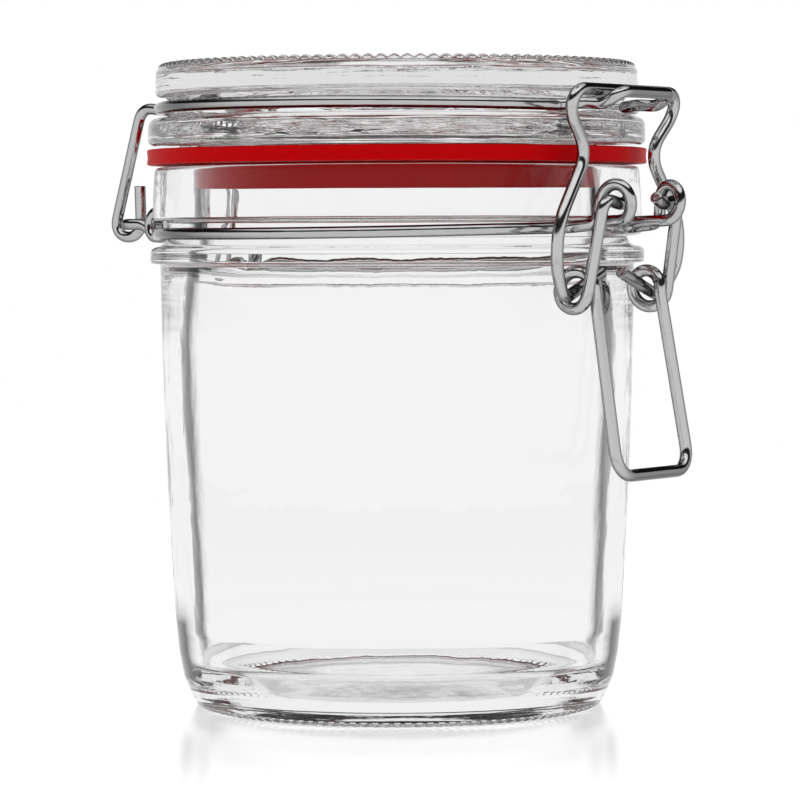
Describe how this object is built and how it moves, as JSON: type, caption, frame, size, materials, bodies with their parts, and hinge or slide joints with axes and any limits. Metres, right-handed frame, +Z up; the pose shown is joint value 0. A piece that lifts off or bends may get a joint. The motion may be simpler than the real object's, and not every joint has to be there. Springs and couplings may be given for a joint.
{
  "type": "clip top jar",
  "caption": "Clear glass storage jar with a glass lid on a wire hinge, a red rubber ring and an over-centre wire clip with a finger lever.",
  "frame": {"origin": "on the plane that the jar stands on, midway between the outermost points of the hinge and the clip; the jar's own axis is 2.2 mm from it towards the clip", "axes": "+Z up along the jar's axis, +X from the hinge to the clip, +Y across the clip"},
  "size_m": [0.121, 0.0948, 0.1216],
  "materials": {
    "glass": "clear pressed soda-lime glass, smooth",
    "rubber": "moulded red rubber, satin",
    "steel": "bright drawn wire"
  },
  "bodies": {
    "jar": {"jar_body": "glass", "neck_wire": "steel"},
    "lid": {"lid": "glass", "gasket": "rubber", "lid_wire": "steel"},
    "lever": {"lever": "steel"},
    "bail": {"bail": "steel"}
  },
  "joints": [
    {"name": "lid_hinge", "type": "hinge", "parent": "jar", "child": "lid", "pos_m": [-0.0563, 0, 0.0913], "axis": [0, -1, 0], "range_deg": [0, 120]},
    {"name": "lever_pivot", "type": "hinge", "parent": "jar", "child": "lever", "pos_m": [0.0567, 0, 0.0948], "axis": [0, -1, 0], "range_deg": [0, 72]},
    {"name": "bail_pivot", "type": "hinge", "parent": "lever", "child": "bail", "pos_m": [0.0501, 0, 0.079], "axis": [0, -1, 0], "range_deg": [-152, 0]}
  ],
  "couplings": [
    {"joint": "bail_pivot", "follows": "lever_pivot", "ratio": -2.1}
  ]
}
